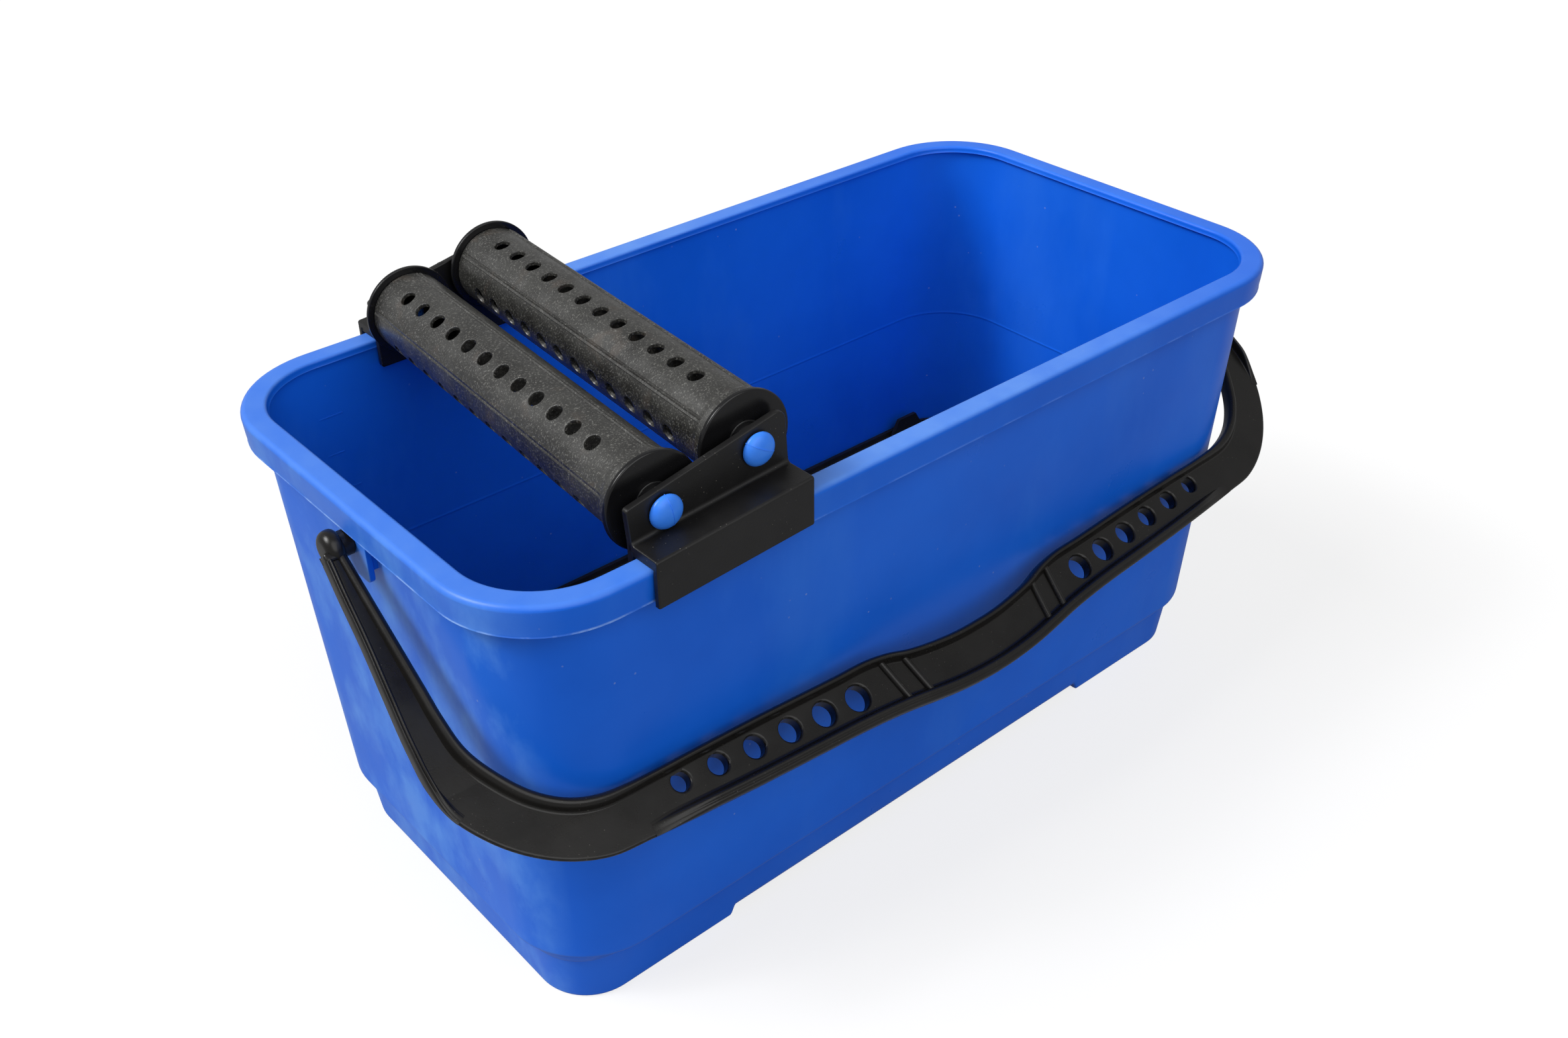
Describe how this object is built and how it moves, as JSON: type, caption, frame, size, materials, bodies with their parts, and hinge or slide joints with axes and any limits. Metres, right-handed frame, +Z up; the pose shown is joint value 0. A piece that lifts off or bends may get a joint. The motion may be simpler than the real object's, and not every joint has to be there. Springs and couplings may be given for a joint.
{
  "type": "bucket",
  "caption": "Rectangular plastic wash bucket with a bail handle, clip-on perforated squeeze rollers across the rim and a lift-out sediment grid.",
  "frame": {"origin": "on the floor at the middle of the tub's base, which is raised a little off the floor there", "axes": "+X along the tub's length, +Y across it away from the side where the handle hangs, +Z up"},
  "size_m": [0.5822, 0.3082, 0.3172],
  "materials": {
    "tub_blue": "satin",
    "pin_blue": "satin",
    "handle_black": "satin",
    "bracket_black": "satin",
    "cap_black": "satin",
    "roller_grey": "worn satin",
    "grid_black": "matte"
  },
  "bodies": {
    "tub": {"tub": "tub_blue"},
    "handle": {"handle": "handle_black"},
    "sediment_grid": {"sediment_grid": "grid_black"},
    "roller_unit": {"front_bracket": "bracket_black", "back_bracket": "bracket_black"},
    "left_roller": {"left_roller_shell": "roller_grey", "left_roller_front_cap": "cap_black", "left_roller_back_cap": "cap_black", "left_roller_front_pin": "pin_blue", "left_roller_back_pin": "pin_blue"},
    "right_roller": {"right_roller_shell": "roller_grey", "right_roller_front_cap": "cap_black", "right_roller_back_cap": "cap_black", "right_roller_front_pin": "pin_blue", "right_roller_back_pin": "pin_blue"}
  },
  "joints": [
    {"name": "handle_swing", "type": "hinge", "parent": "tub", "child": "handle", "pos_m": [0, 0, 0.245], "axis": [-1, 0, 0], "range_deg": [0, 240]},
    {"name": "grid_lift", "type": "slide", "parent": "tub", "child": "sediment_grid", "axis": [0, 0, 1], "range_m": [0, 0.165]},
    {"name": "roller_unit_lift", "type": "slide", "parent": "tub", "child": "roller_unit", "axis": [0, 0, 1], "range_m": [0, 0.06]},
    {"name": "left_roller_spin", "type": "hinge", "parent": "roller_unit", "child": "left_roller", "pos_m": [-0.169, 0, 0.2838], "axis": [0.0725, 0.9974, 0], "continuous": true},
    {"name": "right_roller_spin", "type": "hinge", "parent": "roller_unit", "child": "right_roller", "pos_m": [-0.1181, 0, 0.2935], "axis": [0.0725, 0.9974, 0], "continuous": true}
  ]
}
